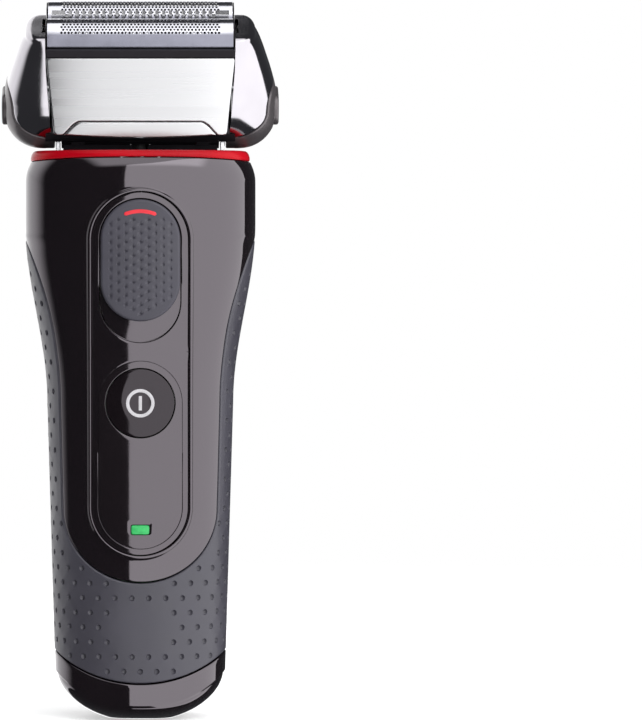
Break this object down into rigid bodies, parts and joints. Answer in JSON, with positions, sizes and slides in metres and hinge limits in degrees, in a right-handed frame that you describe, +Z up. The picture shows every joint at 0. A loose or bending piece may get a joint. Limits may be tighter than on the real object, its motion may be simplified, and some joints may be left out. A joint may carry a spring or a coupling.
{
  "type": "electric shaver",
  "caption": "Upright electric foil shaver: black handle with rubber grip, power button and lock slider, red collar, swinging head and lift-off foil cassette.",
  "frame": {"origin": "centre of the foot, on the surface it stands on", "axes": "+Z up along the handle, controls and foils' front face -Y, +X to the right as seen from the front"},
  "size_m": [0.0626, 0.0352, 0.1623],
  "materials": {
    "gloss_black": "polished gloss black",
    "gloss_black_rear": "polished gloss black",
    "panel_black": "gloss black",
    "display_black": "gloss black, slightly lighter",
    "grip_rubber": "matt slate grey rubber with round dimples",
    "slider_rubber": "matt grey rubber with small round dimples",
    "red_ring": "gloss red",
    "red_mark": "red print",
    "green_window": "clear, lit green",
    "symbol_grey": "light grey print",
    "steel": "bright",
    "plate_steel": "finely brushed",
    "foil_steel": "perforated bright foil",
    "arm_chrome": "dark satin chrome",
    "guard_grey": "satin dark grey",
    "black_plastic": "satin black",
    "frame_plastic": "natural white",
    "bridge_plastic": "natural white",
    "motor_steel": "plain",
    "battery_wrap": "plain green wrap",
    "contact_metal": "plated",
    "board_green": "circuit board",
    "part_black": "black parts",
    "seal_rubber": "black"
  },
  "bodies": {
    "handle": {"front_shell": "gloss_black", "rear_shell": "gloss_black_rear", "grip_sleeve": "grip_rubber", "base_cap": "gloss_black", "control_panel": "panel_black", "display_panel": "display_black", "charge_window": "green_window", "collar_ring": "red_ring", "neck_plate": "black_plastic", "shaft_seal": "seal_rubber", "pivot_bracket_left": "steel", "pivot_bracket_right": "steel", "pivot_pins": "steel", "inner_frame": "frame_plastic", "motor": "motor_steel", "motor_terminals": "contact_metal", "battery": "battery_wrap", "battery_tabs": "steel", "circuit_board": "board_green", "power_switch": "part_black", "charge_led": "green_window", "board_parts": "part_black", "socket_housing": "black_plastic", "socket_pins": "contact_metal", "station_contacts": "contact_metal", "case_screws": "steel"},
    "lock_slider": {"lock_slider": "slider_rubber", "lock_mark": "red_mark", "lock_rod": "steel"},
    "power_button": {"power_button": "panel_black", "power_symbol": "symbol_grey"},
    "motor_shaft": {"motor_shaft": "steel"},
    "hair_trimmer": {"trimmer_slide": "gloss_black_rear", "trimmer_comb": "steel"},
    "trimmer_blade": {"trimmer_blade": "steel"},
    "swing_head": {"head_cradle": "black_plastic", "side_arm_left": "arm_chrome", "side_arm_right": "arm_chrome", "side_guard_left": "guard_grey", "side_guard_right": "guard_grey", "guide_rods": "steel"},
    "drive_bridge": {"drive_bridge": "bridge_plastic"},
    "release_left": {"release_button_left": "guard_grey"},
    "release_right": {"release_button_right": "guard_grey"},
    "cassette": {"cassette_frame": "black_plastic", "front_plate": "plate_steel", "rear_plate": "plate_steel", "latch_cover": "plate_steel"},
    "front_foil": {"front_foil": "foil_steel", "front_foil_carrier": "black_plastic"},
    "rear_foil": {"rear_foil": "foil_steel", "rear_foil_carrier": "black_plastic"},
    "front_cutter": {"front_blades": "steel", "front_blade_carrier": "part_black"},
    "rear_cutter": {"rear_blades": "steel", "rear_blade_carrier": "part_black"},
    "centre_trimmer": {"centre_comb": "steel"},
    "centre_blade": {"centre_blade": "steel"}
  },
  "joints": [
    {"name": "head_swing", "type": "hinge", "parent": "handle", "child": "swing_head", "pos_m": [0, 0, 0.141], "axis": [1, 0, 0], "range_deg": [-30, 10]},
    {"name": "lock_slide", "type": "slide", "parent": "handle", "child": "lock_slider", "axis": [0, 0, -1], "range_m": [0, 0.0046]},
    {"name": "power_press", "type": "slide", "parent": "handle", "child": "power_button", "axis": [0, 1, 0], "range_m": [0, 0.0008], "stiffness_N_per_m": 600, "springref_m": -0.0005},
    {"name": "motor_spin", "type": "hinge", "parent": "handle", "child": "motor_shaft", "pos_m": [0, 0, 0.1], "axis": [0, 0, 1], "continuous": true},
    {"name": "trimmer_slide", "type": "slide", "parent": "handle", "child": "hair_trimmer", "axis": [0, 0, 1], "range_m": [0, 0.014]},
    {"name": "trimmer_blade_stroke", "type": "slide", "parent": "hair_trimmer", "child": "trimmer_blade", "axis": [1, 0, 0], "range_m": [-0.0009, 0.0009]},
    {"name": "bridge_stroke", "type": "slide", "parent": "swing_head", "child": "drive_bridge", "axis": [1, 0, 0], "range_m": [-0.0009, 0.0009], "stiffness_N_per_m": 500},
    {"name": "release_left_press", "type": "slide", "parent": "swing_head", "child": "release_left", "axis": [1, 0, 0], "range_m": [0, 0.0012], "stiffness_N_per_m": 500, "springref_m": -0.0005},
    {"name": "release_right_press", "type": "slide", "parent": "swing_head", "child": "release_right", "axis": [-1, 0, 0], "range_m": [0, 0.0012], "stiffness_N_per_m": 500, "springref_m": -0.0005},
    {"name": "cassette_lift", "type": "slide", "parent": "swing_head", "child": "cassette", "axis": [0, -0.3746, 0.9272], "range_m": [0, 0.03]},
    {"name": "front_foil_float", "type": "slide", "parent": "cassette", "child": "front_foil", "axis": [0, 0.3746, -0.9272], "range_m": [0, 0.0015], "stiffness_N_per_m": 300, "springref_m": -0.001},
    {"name": "rear_foil_float", "type": "slide", "parent": "cassette", "child": "rear_foil", "axis": [0, 0.3746, -0.9272], "range_m": [0, 0.0015], "stiffness_N_per_m": 300, "springref_m": -0.001},
    {"name": "centre_trimmer_float", "type": "slide", "parent": "cassette", "child": "centre_trimmer", "axis": [0, 0.3746, -0.9272], "range_m": [0, 0.0015], "stiffness_N_per_m": 300, "springref_m": -0.001},
    {"name": "front_cutter_stroke", "type": "slide", "parent": "front_foil", "child": "front_cutter", "axis": [1, 0, 0], "range_m": [-0.0009, 0.0009]},
    {"name": "rear_cutter_stroke", "type": "slide", "parent": "rear_foil", "child": "rear_cutter", "axis": [1, 0, 0], "range_m": [-0.0009, 0.0009]},
    {"name": "centre_blade_stroke", "type": "slide", "parent": "centre_trimmer", "child": "centre_blade", "axis": [1, 0, 0], "range_m": [-0.0009, 0.0009]}
  ],
  "couplings": [
    {"joint": "front_cutter_stroke", "follows": "bridge_stroke", "ratio": 1},
    {"joint": "rear_cutter_stroke", "follows": "bridge_stroke", "ratio": 1},
    {"joint": "centre_blade_stroke", "follows": "bridge_stroke", "ratio": 1},
    {"joint": "trimmer_blade_stroke", "follows": "bridge_stroke", "ratio": 1}
  ]
}
